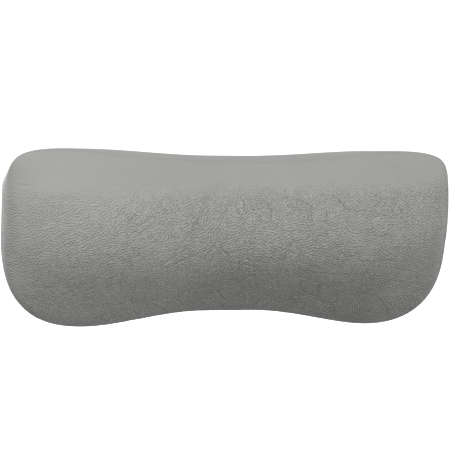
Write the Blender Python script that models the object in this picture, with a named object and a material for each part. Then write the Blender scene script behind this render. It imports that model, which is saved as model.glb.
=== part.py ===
"""Tilting headrest for an office chair, in metres.

A moulded foam pad is screwed and bolted to a steel bracket. The bracket turns on a bolt between the ears of a
carriage, where friction discs hold its angle. The carriage slides up and down in an aluminium rail that is
screwed to the back of the chair. A knob on the carriage's right side presses a pad on the rail to lock it.

+X is right for someone facing the pad, +Y points at the back of the chair and +Z is up.
The origin is the centre of the rail's flat rear face, which rests on the chair.
"""

import math

import bmesh
import bpy
from mathutils import Matrix, Vector
from mathutils.geometry import convex_hull_2d

GAP = 0.0003  # between pieces that touch
MERGE = 0.000001
ROUND = 24  # sides of a turned piece
ROUND_SMALL = 16  # sides of a small hole or screw
BEYOND = 0.002  # how far a cutter reaches past the piece that it cuts

# Pad: heights are measured from its middle, depths forward from its flat back
PAD_WIDTH = 0.300
PAD_BACK_Y = -0.0566
PAD_MIDDLE_Z = 0.012
PAD_RISE = {"top": (0.010, 0.178), "bottom": (0.018, 0.136), "nose": (0.0105, 0.1005)}  # from waist to lobe
PAD_WAIST = {"top": 0.0483, "bottom": 0.0530, "radius": 0.0445, "depth": 0.0195, "up": -0.0009}
PAD_LOBE = {"top": 0.0615, "bottom": 0.0723, "radius": 0.0505, "depth": 0.0215, "up": 0.0003}
PAD_BROW_SLOPE = math.radians(46.1)  # which way the upper front faces, above level
PAD_CHIN_SLOPE = math.radians(-38.6)  # which way the lower front faces
PAD_BROW_RADIUS = 0.009
PAD_CHIN_RADIUS = 0.026
PAD_BACK_RADIUS = 0.0096
PAD_END_DEPTH = 0.0238  # the point that the ends close in towards
PAD_END_UP = 0.0219
PAD_END_POWER = {"top": 4.9, "top_back": 2.8, "bottom": 4.2, "front": 2.22, "back": 11.1}  # higher is squarer
PAD_END_BLEND = {"top": 0.030, "up": 0.080, "depth": 0.080}  # over which the powers give way to each other
PAD_STRAIGHT = 0.8  # share of the half width with evenly spaced rings; the rest crowd towards the end
PAD_RINGS = (13, 9)  # in that share, and in the rest
PAD_CROWDING = 5.0

# Back shell, board and their pocket in the foam
SHELL_INSET = 0.002  # from the edge of the pad's flat back
SHELL_END_INSET = 0.014  # more than that, from the pad's ends
SHELL_END_HEIGHT = 0.030
SHELL_THICKNESS = 0.003
SHELL_Y = PAD_BACK_Y + GAP  # its outer face
BOARD_SIZE = (0.240, 0.062)
BOARD_THICKNESS = 0.009
BOARD_CORNER = 0.008
BOARD_Y = SHELL_Y - SHELL_THICKNESS - GAP
POCKET_DEPTH = 0.0115  # in front of the board's rear face
SHELL_SCREW_AT = (0.105, 0.022)
SHELL_SCREW = {"shank": 0.00175, "head": 0.0035, "length": 0.010}

# Hinge bracket and its bolts
BRACKET_SIZE = (0.096, 0.044)
BRACKET_THICKNESS = 0.003
BRACKET_Y = SHELL_Y + GAP
BOLT_AT = (0.040, 0.012)
BOLT_RADIUS = 0.003
BOLT_LENGTH = 0.0178
BOLT_HEAD = (0.00525, 0.0033)
BOLT_CHAMFER = 0.0008
TEE_NUT_FLANGE = (0.0085, 0.0012)
TEE_NUT_BARREL = (0.004, 0.0076)

# Tilt pivot, along X
PIVOT_Y = -0.040
PIVOT_Z = 0.006
PIVOT_RADIUS = 0.004
PIVOT_END = 0.010  # radius of the ears and of the bracket's tabs
PIVOT_BORE = PIVOT_RADIUS + GAP
TAB_X = (0.017, 0.020)
BUSH_RADIUS = 0.0055
BUSH_FLANGE = (0.009, 0.0015)
DISC_RADIUS = 0.009
DISC_X = (0.0221, 0.0237)
EAR_X = (0.024, 0.032)
WASHER = (0.008, 0.0015)
SPRING = {"radius": 0.008, "thickness": 0.0009, "cone": 0.0004}
PIVOT_HEAD = (0.0065, 0.005)
PIVOT_NUT_FLATS = 0.013
PIVOT_NUT_HEX = 0.005
PIVOT_NUT_COLLAR = (0.0058, 0.0017)

# Rail
RAIL_WIDTH = 0.072
RAIL_HEIGHT = 0.080
RAIL_DEPTH = 0.018
RAIL_BASE = 0.005
RAIL_WALL = 0.007
RAIL_LIP = 0.005
SLOT_WIDTH = 0.044
RAIL_HOLE_AT = (0.018, 0.028)
RAIL_HOLE_RADIUS = 0.00275
RAIL_SINK_RADIUS = 0.0051
STOP_THICKNESS = 0.004
STOP_SCREW_AT = (0.0325, -0.009)
STOP_SCREW = {"shank": 0.0015, "head": 0.00275, "length": 0.012}

# Carriage
BLOCK_WIDTH = 0.072
BLOCK_HEIGHT = 0.040
BLOCK_Y = (-0.028, -0.0185)
NECK_WIDTH = 0.043
NECK_Y = -0.0055
FLANGE_X = (0.0365, 0.044)
FLANGE_Y = -0.004
CHANNEL_Y = -(RAIL_BASE + RAIL_DEPTH - RAIL_LIP) / 2  # middle of the rail's channel
TONGUE = (0.0269, 0.0044, 0.034)  # how far out it reaches, its thickness and its height
GLIDE_X = (0.0222, 0.0287)
GLIDE_SIZE = (0.0076, 0.0394)
GLIDE_POCKET = (0.0050, 0.0050, 0.0346)

# Clamp, along X
CLAMP_Y = -0.013
CLAMP_TRAVEL = 0.00075  # of the pressure pad, away from the rail
CLAMP_HOLE = 0.0048
CLAMP_PAD_X = (RAIL_WIDTH / 2 + GAP, RAIL_WIDTH / 2 + GAP + 0.002)
CLAMP_PAD_RADIUS = 0.0035
CLAMP_SOCKET = (0.0018, 0.0014)
STUD_RADIUS = 0.003
STUD_TIP = (0.0015, 0.0011)
STUD_X = (CLAMP_PAD_X[1] + GAP, 0.0585)
INSERT_X = (CLAMP_PAD_X[1] + CLAMP_TRAVEL + GAP, FLANGE_X[1] - GAP)
KNOB_X = 0.047
KNOB_RADIUS = 0.0115
KNOB_LOBES = 7
KNOB_LOBE_HEIGHT = 0.0006

COLOURS = {  # linear RGB, roughness, metallic
    "pad_skin": ((0.34, 0.345, 0.335), 0.55, 0.0),
    "plywood": ((0.42, 0.27, 0.14), 0.7, 0.0),
    "shell_plastic": ((0.035, 0.036, 0.038), 0.5, 0.0),
    "black_steel": ((0.03, 0.03, 0.032), 0.45, 1.0),
    "zinc_steel": ((0.55, 0.56, 0.58), 0.35, 1.0),
    "aluminium": ((0.62, 0.63, 0.64), 0.35, 1.0),
    "carriage_nylon": ((0.05, 0.052, 0.055), 0.55, 0.0),
    "acetal": ((0.75, 0.75, 0.72), 0.4, 0.0),
    "brass": ((0.6, 0.42, 0.16), 0.35, 1.0),
    "friction_fibre": ((0.12, 0.08, 0.05), 0.85, 0.0),
    "knob_plastic": ((0.03, 0.03, 0.032), 0.45, 0.0),
}

ALONG = {  # a turned piece's own +Z points this way
    "+X": (0.0, math.pi / 2, 0.0),
    "-X": (0.0, -math.pi / 2, 0.0),
    "+Y": (-math.pi / 2, 0.0, 0.0),
    "-Y": (math.pi / 2, 0.0, 0.0),
    "+Z": (0.0, 0.0, 0.0),
    "-Z": (math.pi, 0.0, 0.0),
}


def clear_scene():
    for item in list(bpy.data.objects):
        bpy.data.objects.remove(item)


def make_material(name):
    colour, roughness, metallic = COLOURS[name]
    material = bpy.data.materials.new(name)
    material.use_nodes = True
    shader = material.node_tree.nodes["Principled BSDF"]
    shader.inputs["Base Color"].default_value = (*colour, 1.0)
    shader.inputs["Roughness"].default_value = roughness
    shader.inputs["Metallic"].default_value = metallic
    return material


def material_called(name):
    return bpy.data.materials.get(name) or make_material(name)


def add_empty(name, location, parent=None):
    """An empty on a joint's axis; the pieces that the joint moves are its children."""
    empty = bpy.data.objects.new(name, None)
    empty.empty_display_size = 0.01
    empty.location = Vector(location) - (world_place(parent) if parent else Vector())
    empty.parent = parent
    bpy.context.scene.collection.objects.link(empty)
    return empty


def world_place(empty):
    """Where an empty is, added up along its parents, none of which is turned."""
    place = empty.location.copy()
    while empty.parent:
        empty = empty.parent
        place += empty.location
    return place


def mesh_from(bm, name):
    bmesh.ops.recalc_face_normals(bm, faces=bm.faces)
    mesh = bpy.data.meshes.new(name)
    bm.to_mesh(mesh)
    bm.free()
    mesh.shade_smooth()
    mesh.set_sharp_from_angle(angle=math.radians(35))
    return mesh


def add_piece(name, shape, material, parent, location=(0, 0, 0), rotation=(0, 0, 0)):
    """One named object; shape is a new bmesh or a mesh that another piece already uses."""
    mesh = shape if isinstance(shape, bpy.types.Mesh) else mesh_from(shape, name)
    if not mesh.materials:
        mesh.materials.append(material_called(material))
    piece = bpy.data.objects.new(name, mesh)
    piece.location = Vector(location) - (world_place(parent) if parent else Vector())
    piece.rotation_euler = rotation
    piece.parent = parent
    bpy.context.scene.collection.objects.link(piece)
    return piece


def combine(piece, shapes, operation):
    """Unite shapes with a piece, or cut them from it. Both are drawn in world space."""
    whole = bmesh.new()
    for shape in shapes:
        bmesh.ops.recalc_face_normals(shape, faces=shape.faces)
        part = bpy.data.meshes.new("part")
        shape.to_mesh(part)
        shape.free()
        whole.from_mesh(part)
        bpy.data.meshes.remove(part)
    name = f"{piece.name}_{operation.lower()}"
    mesh = bpy.data.meshes.new(name)
    whole.to_mesh(mesh)
    whole.free()
    tool = bpy.data.objects.new(name, mesh)
    tool.parent = piece
    tool.hide_render = True
    tool.display_type = "WIRE"
    bpy.context.scene.collection.objects.link(tool)
    boolean = piece.modifiers.new(name, "BOOLEAN")
    boolean.operation = operation
    boolean.solver = "EXACT"
    boolean.object = tool


def placed(shape, location, rotation=(0, 0, 0)):
    turn = Matrix.Rotation(rotation[2], 4, "Z") @ Matrix.Rotation(rotation[1], 4, "Y")
    turn = turn @ Matrix.Rotation(rotation[0], 4, "X")
    bmesh.ops.transform(shape, matrix=Matrix.Translation(location) @ turn, verts=shape.verts)
    return shape


def rounded(corners):
    """Points of a flat outline whose corners are given as (a, b, radius, steps)."""
    points = []
    for i, (a, b, radius, steps) in enumerate(corners):
        corner = Vector((a, b))
        before = (Vector(corners[i - 1][:2]) - corner).normalized()
        after = (Vector(corners[(i + 1) % len(corners)][:2]) - corner).normalized()
        half = before.angle(after) / 2
        reach = radius / math.tan(half)
        centre = corner + (before + after).normalized() * radius / math.sin(half)
        start = corner + before * reach - centre
        end = corner + after * reach - centre
        first = math.atan2(start.y, start.x)
        sweep = (math.atan2(end.y, end.x) - first + math.pi) % (2 * math.pi) - math.pi
        for step in range(steps + 1):
            angle = first + sweep * step / steps
            points.append(centre + radius * Vector((math.cos(angle), math.sin(angle))))
    return points


def rectangle(width, height, radius, centre=(0.0, 0.0), steps=4):
    across, up = centre
    sides = ((1, 1), (-1, 1), (-1, -1), (1, -1))
    return rounded([(across + a * width / 2, up + b * height / 2, radius, steps) for a, b in sides])


def prism(outline, axis, start, end, bevel=0.0):
    """A flat outline carried along an axis; bevel rounds the rims of both end faces."""
    put = {
        "X": lambda a, b, c: (c, a, b),
        "Y": lambda a, b, c: (a, c, b),
        "Z": lambda a, b, c: (a, b, c),
    }[axis]
    bm = bmesh.new()
    face = bm.faces.new([bm.verts.new(put(a, b, start)) for a, b in outline])
    grown = bmesh.ops.extrude_face_region(bm, geom=[face])["geom"]
    far_side = [item for item in grown if isinstance(item, bmesh.types.BMVert)]
    bmesh.ops.translate(bm, verts=far_side, vec=put(0.0, 0.0, end - start))
    if bevel:
        ends = [f for f in bm.faces if len(f.verts) == len(outline)]
        rims = list({edge for f in ends for edge in f.edges})
        bmesh.ops.bevel(bm, geom=rims, offset=bevel, segments=2, profile=0.5, affect="EDGES")
    return bm


def box(low, high):
    corners = [(low[0], low[1]), (high[0], low[1]), (high[0], high[1]), (low[0], high[1])]
    return prism(corners, "Z", low[2], high[2])


def turned(profile, steps=ROUND):
    """A profile of (radius, height) points spun about Z. One that starts off the axis makes a ring."""
    bm = bmesh.new()
    points = [bm.verts.new((radius, 0.0, height)) for radius, height in profile]
    edges = [bm.edges.new(pair) for pair in zip(points, points[1:])]
    if profile[0][0] > 0.0:
        edges.append(bm.edges.new((points[-1], points[0])))
    circle = 2 * math.pi
    bmesh.ops.spin(bm, geom=points + edges, axis=(0, 0, 1), cent=(0, 0, 0), angle=circle, steps=steps)
    bmesh.ops.remove_doubles(bm, verts=bm.verts, dist=MERGE)
    return bm


def rod(radius, start, end, steps=ROUND):
    return turned([(0.0, start), (radius, start), (radius, end), (0.0, end)], steps)


def sleeve(bore, radius, start, end):
    return turned([(bore, start), (radius, start), (radius, end), (bore, end)])


def hexagon(flats):
    corner = flats / math.sqrt(3)
    angles = [math.radians(30 + 60 * i) for i in range(6)]
    return [(corner * math.cos(a), corner * math.sin(a)) for a in angles]


def countersunk_screw(shank, head, length):
    """Head face at z = 0, shank down -Z, with a round drive recess."""
    drive = head * 0.4
    rim = 0.0002
    cone = rim + (head - shank)
    return turned(
        [
            (0.0, -drive),
            (drive, -drive),
            (drive, 0.0),
            (head, 0.0),
            (head, -rim),
            (shank, -cone),
            (shank, shank - length),
            (0.0, -length),
        ],
        ROUND_SMALL,
    )


def countersink(shank, head, length):
    """Cutter for a countersunk screw: its shape, wider by the gap all round and open above."""
    rim = 0.0002 + GAP
    cone = rim + (head - shank)
    bore = shank + GAP
    mouth = head + GAP
    profile = [(0.0, BEYOND), (mouth, BEYOND), (mouth, -rim), (bore, -cone), (bore, -length), (0.0, -length)]
    return turned(profile, ROUND_SMALL)


def tongue_outline(centre, radius, base, low, high):
    """Outline in (y, z) of a flat plate: a round end about the centre, widening to its base."""
    steps = ROUND
    turns = [2 * math.pi * i / steps for i in range(steps)]
    points = [(centre[0] + radius * math.cos(t), centre[1] + radius * math.sin(t)) for t in turns]
    points += [(base, low), (base, high)]
    return [points[i] for i in convex_hull_2d([Vector(p) for p in points])]


def both_ways(distance):
    return (-distance, distance)


def four_corners(at):
    return [(x, z) for x in both_ways(at[0]) for z in both_ways(at[1])]


def ease(t):
    t = min(max(t, 0.0), 1.0)
    return t * t * (3.0 - 2.0 * t)


def pad_size(key, rise, x):
    """A size that eases from its value at the waist to its value in the lobes."""
    start, end = PAD_RISE[rise]
    lobe = ease((abs(x) - start) / (end - start))
    return PAD_WAIST[key] * (1 - lobe) + PAD_LOBE[key] * lobe


def pad_profile(x):
    """The pad's profile at x, as (depth, up) points round from the lower back edge."""
    top = pad_size("top", "top", x)
    bottom = pad_size("bottom", "bottom", x)
    radius = pad_size("radius", "nose", x)
    centre = Vector((pad_size("depth", "nose", x), pad_size("up", "nose", x)))
    brow = Vector((math.cos(PAD_BROW_SLOPE), math.sin(PAD_BROW_SLOPE)))
    chin = Vector((math.cos(PAD_CHIN_SLOPE), math.sin(PAD_CHIN_SLOPE)))
    # where the upper and lower front planes cross, and where they meet the level top and bottom
    nose = centre + (brow + chin) * radius / (1 + brow.dot(chin))
    top_front = centre.x + (radius - (top - centre.y) * brow.y) / brow.x
    bottom_front = centre.x + (radius + (bottom + centre.y) * chin.y) / chin.x
    return rounded(
        [
            (0.0, -bottom, PAD_BACK_RADIUS, 3),
            (bottom_front, -bottom, PAD_CHIN_RADIUS, 4),
            (nose.x, nose.y, radius, 14),
            (top_front, top, PAD_BROW_RADIUS, 4),
            (0.0, top, PAD_BACK_RADIUS, 3),
        ]
    )


def narrowing(share, power):
    """What is left of the profile at a share of the half width, from 1 at the middle to 0 at the end."""
    return (1.0 - share**power) ** (1.0 / power)


def between(first, second, t):
    """Power that goes smoothly from first to second as t goes from 0 to 1."""
    t = ease(t)
    return 1.0 / ((1.0 - t) / first + t / second)


def pad_ring(share):
    """Points round the pad at a signed share of its half width."""
    x = share * PAD_WIDTH / 2
    near = abs(share)
    power = PAD_END_POWER
    blend = PAD_END_BLEND
    ring = []
    for depth, up in pad_profile(x):
        past_depth = depth - PAD_END_DEPTH
        past_up = up - PAD_END_UP
        top = between(power["top_back"], power["top"], depth / blend["top"])
        tall = narrowing(near, between(power["bottom"], top, past_up / blend["up"] + 0.5))
        deep = narrowing(near, between(power["back"], power["front"], past_depth / blend["depth"] + 0.5))
        ring_depth = PAD_END_DEPTH + past_depth * deep
        ring_up = PAD_END_UP + past_up * tall
        ring.append((x, PAD_BACK_Y - ring_depth, PAD_MIDDLE_Z + ring_up))
    return ring


def pad_shares():
    """Signed shares of the half width where the pad has rings, crowded towards the ends."""
    even, crowded = PAD_RINGS
    half = [PAD_STRAIGHT * i / even for i in range(even + 1)]
    half += [1 - (1 - PAD_STRAIGHT) * (1 - i / crowded) ** PAD_CROWDING for i in range(1, crowded)]
    return [-share for share in reversed(half[1:])] + half


def pad_surface():
    bm = bmesh.new()
    rings = [[bm.verts.new(point) for point in pad_ring(share)] for share in pad_shares()]
    for one, other in zip(rings, rings[1:]):
        count = len(one)
        for i in range(count):
            bm.faces.new((one[i], one[(i + 1) % count], other[(i + 1) % count], other[i]))
    for ring, side in ((rings[0], -1), (rings[-1], 1)):
        tip = bm.verts.new((side * PAD_WIDTH / 2, PAD_BACK_Y - PAD_END_DEPTH, PAD_MIDDLE_Z + PAD_END_UP))
        for i, point in enumerate(ring):
            bm.faces.new((point, ring[(i + 1) % len(ring)], tip))
    return bm


def shell_outline(inset):
    """Outline in (x, z) of the flat of the pad's back, drawn in by inset and further at the pad's ends."""
    squeeze = (PAD_WIDTH / 2 - SHELL_END_INSET - inset) / (PAD_WIDTH / 2)
    edges = []
    for share in pad_shares():
        ring = pad_ring(share)
        back = max(y for _, y, _ in ring)
        heights = [up for _, y, up in ring if back - y < MERGE]
        edges.append((share * squeeze * PAD_WIDTH / 2, min(heights) + inset, max(heights) - inset))
    edges = [edge for edge in edges if edge[2] - edge[1] > SHELL_END_HEIGHT]
    return [(x, low) for x, low, _ in edges] + [(x, high) for x, _, high in reversed(edges)]


def make_pad(parent):
    cushion = add_piece("pad_cushion", pad_surface(), "pad_skin", parent)
    middle = (0.0, PAD_MIDDLE_Z)
    pocket = rectangle(BOARD_SIZE[0] + 2 * GAP, BOARD_SIZE[1] + 2 * GAP, BOARD_CORNER + GAP, middle)
    behind = PAD_BACK_Y + BEYOND
    cutters = [
        prism(shell_outline(SHELL_INSET - GAP), "Y", BOARD_Y, behind),
        prism(pocket, "Y", BOARD_Y - POCKET_DEPTH, behind),
    ]
    combine(cushion, cutters[:1], "DIFFERENCE")
    combine(cushion, cutters[1:], "DIFFERENCE")


def make_board_and_shell(parent):
    middle = (0.0, PAD_MIDDLE_Z)
    board = prism(rectangle(*BOARD_SIZE, BOARD_CORNER, middle), "Y", BOARD_Y, BOARD_Y - BOARD_THICKNESS)
    board = add_piece("insert_board", board, "plywood", parent)
    shell = prism(shell_outline(SHELL_INSET), "Y", SHELL_Y, SHELL_Y - SHELL_THICKNESS)
    shell = add_piece("back_shell", shell, "shell_plastic", parent)

    front = BOARD_Y - BOARD_THICKNESS - BEYOND
    bolt_hole = BOLT_RADIUS + GAP
    barrel_hole = TEE_NUT_BARREL[0] + GAP
    pilot = SHELL_SCREW["shank"] + GAP
    board_holes = []
    shell_holes = []
    for x, z in four_corners(BOLT_AT):
        at = (x, 0.0, PAD_MIDDLE_Z + z)
        board_hole = rod(barrel_hole, -SHELL_Y, -front, ROUND_SMALL)
        shell_hole = rod(bolt_hole, -SHELL_Y - BEYOND, -BOARD_Y + BEYOND, ROUND_SMALL)
        board_holes.append(placed(board_hole, at, ALONG["-Y"]))
        shell_holes.append(placed(shell_hole, at, ALONG["-Y"]))
    screw_mesh = mesh_from(countersunk_screw(**SHELL_SCREW), "shell_screw")
    for number, (x, z) in enumerate(four_corners(SHELL_SCREW_AT), 1):
        at = (x, SHELL_Y - GAP, PAD_MIDDLE_Z + z)
        shell_holes.append(placed(countersink(**SHELL_SCREW), at, ALONG["+Y"]))
        board_hole = rod(pilot, -SHELL_Y, -front, ROUND_SMALL)
        board_holes.append(placed(board_hole, (x, 0.0, at[2]), ALONG["-Y"]))
        add_piece(f"shell_screw_{number}", screw_mesh, "black_steel", parent, at, ALONG["+Y"])
    combine(board, board_holes, "DIFFERENCE")
    combine(shell, shell_holes, "DIFFERENCE")


def make_bracket(parent):
    """Steel plate with two tabs that reach back to the pivot."""
    plate = rectangle(*BRACKET_SIZE, 0.004, (0.0, PAD_MIDDLE_Z))
    bracket = prism(plate, "Y", BRACKET_Y, BRACKET_Y + BRACKET_THICKNESS, 0.0004)
    bracket = add_piece("hinge_bracket", bracket, "black_steel", parent)
    root = BRACKET_Y + BRACKET_THICKNESS / 2
    low, high = PIVOT_Z - 1.3 * PIVOT_END, PIVOT_Z + 1.3 * PIVOT_END
    tab = tongue_outline((PIVOT_Y, PIVOT_Z), PIVOT_END, root, low, high)
    tabs = [prism(tab, "X", side * TAB_X[0], side * TAB_X[1], 0.0003) for side in (-1, 1)]
    combine(bracket, tabs, "UNION")
    reach = TAB_X[1] + BEYOND
    holes = [placed(rod(BUSH_RADIUS + GAP, -reach, reach), (0.0, PIVOT_Y, PIVOT_Z), ALONG["+X"])]
    for x, z in four_corners(BOLT_AT):
        hole = rod(BOLT_RADIUS + GAP, BRACKET_Y - BEYOND, BRACKET_Y + BRACKET_THICKNESS + BEYOND, ROUND_SMALL)
        holes.append(placed(hole, (x, 0.0, PAD_MIDDLE_Z + z), ALONG["+Y"]))
    combine(bracket, holes, "DIFFERENCE")


def button_bolt():
    """Underside of the head at z = 0, shank down -Z, round drive recess."""
    radius, height = BOLT_HEAD
    drive = BOLT_RADIUS * 0.6
    dome = [(radius * math.cos(a), height * math.sin(a)) for a in (0.0, 0.4, 0.75, 1.05)]
    recess = [(0.0, height * 0.4), (drive, height * 0.4), (drive, dome[-1][1])]
    shank = [
        (BOLT_RADIUS, 0.0),
        (BOLT_RADIUS, BOLT_CHAMFER - BOLT_LENGTH),
        (BOLT_RADIUS - BOLT_CHAMFER, -BOLT_LENGTH),
        (0.0, -BOLT_LENGTH),
    ]
    return turned(recess + dome[::-1] + shank, ROUND_SMALL)


def tee_nut():
    """Flange under z = 0, barrel up +Z."""
    flange, thickness = TEE_NUT_FLANGE
    barrel, length = TEE_NUT_BARREL
    bore = BOLT_RADIUS + GAP
    profile = [(bore, -thickness), (flange, -thickness), (flange, 0.0), (barrel, 0.0)]
    return turned(profile + [(barrel, length), (bore, length)], ROUND_SMALL)


def make_bracket_bolts(parent):
    bolt_mesh = mesh_from(button_bolt(), "bracket_bolt")
    nut_mesh = mesh_from(tee_nut(), "tee_nut")
    for number, (x, z) in enumerate(four_corners(BOLT_AT), 1):
        head_at = (x, BRACKET_Y + BRACKET_THICKNESS + GAP, PAD_MIDDLE_Z + z)
        nut_at = (x, BOARD_Y - BOARD_THICKNESS - GAP, PAD_MIDDLE_Z + z)
        add_piece(f"bracket_bolt_{number}", bolt_mesh, "zinc_steel", parent, head_at, ALONG["+Y"])
        add_piece(f"tee_nut_{number}", nut_mesh, "zinc_steel", parent, nut_at, ALONG["+Y"])


def flanged_bush():
    """Barrel through a tab, flange outside it; z = 0 is where they meet."""
    flange, thickness = BUSH_FLANGE
    barrel = TAB_X[1] - TAB_X[0] + 2 * GAP - 0.0001
    return turned(
        [
            (PIVOT_BORE, -barrel),
            (BUSH_RADIUS, -barrel),
            (BUSH_RADIUS, 0.0),
            (flange, 0.0),
            (flange, thickness),
            (PIVOT_BORE, thickness),
        ]
    )


def disc_spring():
    """A shallow cone of sheet, standing on its outer edge."""
    radius, thickness, cone = SPRING["radius"], SPRING["thickness"], SPRING["cone"]
    return turned([(PIVOT_BORE, cone), (radius, 0.0), (radius, thickness), (PIVOT_BORE, cone + thickness)])


def pivot_bolt(length):
    """Socket head above z = 0, shank down -Z."""
    radius, height = PIVOT_HEAD
    chamfer = 0.0006
    return turned(
        [
            (0.0, -length),
            (PIVOT_RADIUS - chamfer, -length),
            (PIVOT_RADIUS, -length + chamfer),
            (PIVOT_RADIUS, 0.0),
            (radius, 0.0),
            (radius, height - chamfer),
            (radius - chamfer, height),
            (0.0, height),
        ]
    )


def make_pivot(carriage, pad):
    """The pivot bolt and what is threaded on it, from the bolt's head on the right to the nut on the left."""
    axis = (0.0, PIVOT_Y, PIVOT_Z)

    def on_axis(x):
        return (x, PIVOT_Y, PIVOT_Z)

    washer = mesh_from(sleeve(PIVOT_BORE, WASHER[0], 0.0, WASHER[1]), "pivot_washer")
    outside = EAR_X[1] + GAP
    add_piece("pivot_washer_right", washer, "zinc_steel", carriage, on_axis(outside), ALONG["+X"])
    add_piece("pivot_washer_left", washer, "zinc_steel", carriage, on_axis(-outside), ALONG["-X"])
    springs = mesh_from(disc_spring(), "disc_spring")
    spring_depth = SPRING["thickness"] + SPRING["cone"]
    inner = outside + WASHER[1] + GAP
    outer = inner + 2 * spring_depth + GAP
    add_piece("disc_spring_inner", springs, "black_steel", carriage, on_axis(-inner), ALONG["-X"])
    add_piece("disc_spring_outer", springs, "black_steel", carriage, on_axis(-outer), ALONG["+X"])

    nut_x = outer + GAP
    nut = prism(hexagon(PIVOT_NUT_FLATS), "X", -nut_x - PIVOT_NUT_HEX, -nut_x)
    nut = add_piece("pivot_nut", placed(nut, axis), "zinc_steel", carriage)
    collar, collar_length = PIVOT_NUT_COLLAR
    nut_end = nut_x + PIVOT_NUT_HEX + collar_length
    combine(nut, [placed(rod(collar, nut_x + BEYOND, nut_end), axis, ALONG["-X"])], "UNION")
    combine(nut, [placed(rod(PIVOT_BORE, nut_x - BEYOND, nut_end + BEYOND), axis, ALONG["-X"])], "DIFFERENCE")

    head_x = outside + WASHER[1] + GAP
    bolt = placed(pivot_bolt(head_x + nut_end + 0.001), on_axis(head_x), ALONG["+X"])
    bolt = add_piece("pivot_bolt", bolt, "zinc_steel", carriage)
    socket_floor = head_x + PIVOT_HEAD[1] / 2
    socket = prism(hexagon(0.005), "X", socket_floor, head_x + PIVOT_HEAD[1] + BEYOND)
    combine(bolt, [placed(socket, axis)], "DIFFERENCE")

    disc = mesh_from(sleeve(PIVOT_BORE, DISC_RADIUS, 0.0, DISC_X[1] - DISC_X[0]), "friction_disc")
    add_piece("friction_disc_right", disc, "friction_fibre", carriage, on_axis(DISC_X[0]), ALONG["+X"])
    add_piece("friction_disc_left", disc, "friction_fibre", carriage, on_axis(-DISC_X[0]), ALONG["-X"])

    bush = mesh_from(flanged_bush(), "pivot_bush")
    flange_x = TAB_X[1] + GAP
    add_piece("pivot_bush_right", bush, "acetal", pad, on_axis(flange_x), ALONG["+X"])
    add_piece("pivot_bush_left", bush, "acetal", pad, on_axis(-flange_x), ALONG["-X"])
    reach = TAB_X[0] - 2 * GAP
    spacer = sleeve(PIVOT_BORE, BUSH_RADIUS + 0.001, -reach, reach)
    add_piece("spacer_sleeve", spacer, "zinc_steel", pad, axis, ALONG["+X"])


def make_rail():
    half, front = RAIL_WIDTH / 2, -RAIL_DEPTH
    inside = half - RAIL_WALL
    slot = SLOT_WIDTH / 2
    lip = front + RAIL_LIP
    right = [
        (half, 0.0, 0.0008, 2),
        (half, front, 0.0012, 3),
        (slot, front, 0.0006, 2),
        (slot, lip, 0.0004, 2),
        (inside, lip, 0.0004, 2),
        (inside, -RAIL_BASE, 0.0004, 2),
    ]
    left = [(-x, y, radius, steps) for x, y, radius, steps in reversed(right)]
    rail = prism(rounded(right + left), "Z", -RAIL_HEIGHT / 2, RAIL_HEIGHT / 2, 0.0003)
    rail = add_piece("rail_channel", rail, "aluminium", None)
    holes = []
    for x, z in four_corners(RAIL_HOLE_AT):
        narrow, wide = RAIL_HOLE_RADIUS, RAIL_SINK_RADIUS
        cone_start = RAIL_BASE - (wide - narrow)
        profile = [(0.0, -BEYOND), (narrow, -BEYOND), (narrow, cone_start), (wide, RAIL_BASE)]
        profile += [(wide, RAIL_BASE + GAP), (0.0, RAIL_BASE + GAP)]
        holes.append(placed(turned(profile, ROUND_SMALL), (x, 0.0, z), ALONG["-Y"]))
    bore, depth = STOP_SCREW["shank"] + GAP, STOP_SCREW["length"]
    for x in both_ways(STOP_SCREW_AT[0]):
        for direction in ("+Z", "-Z"):
            hole = rod(bore, RAIL_HEIGHT / 2 - depth, RAIL_HEIGHT / 2 + BEYOND, ROUND_SMALL)
            holes.append(placed(hole, (x, STOP_SCREW_AT[1], 0.0), ALONG[direction]))
    combine(rail, holes, "DIFFERENCE")


def make_end_stops():
    """Caps on both ends of the rail, which the carriage stops against; each is held by two screws."""
    rear = -GAP
    depth = RAIL_DEPTH + rear
    plan = rectangle(RAIL_WIDTH, depth, 0.0012, (0.0, rear - depth / 2))
    start = RAIL_HEIGHT / 2 + GAP
    face = start + STOP_THICKNESS
    screw_mesh = mesh_from(countersunk_screw(**STOP_SCREW), "end_stop_screw")
    for name, side in (("top", 1), ("bottom", -1)):
        stop = prism(plan, "Z", side * start, side * face, 0.0005)
        stop = add_piece(f"end_stop_{name}", stop, "knob_plastic", None)
        direction = ALONG["+Z"] if side > 0 else ALONG["-Z"]
        holes = []
        for number, x in enumerate(both_ways(STOP_SCREW_AT[0]), 1):
            at = (x, STOP_SCREW_AT[1], side * (face - GAP))
            holes.append(placed(countersink(**STOP_SCREW), at, direction))
            add_piece(f"end_stop_screw_{name}_{number}", screw_mesh, "zinc_steel", None, at, direction)
        combine(stop, holes, "DIFFERENCE")


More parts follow.
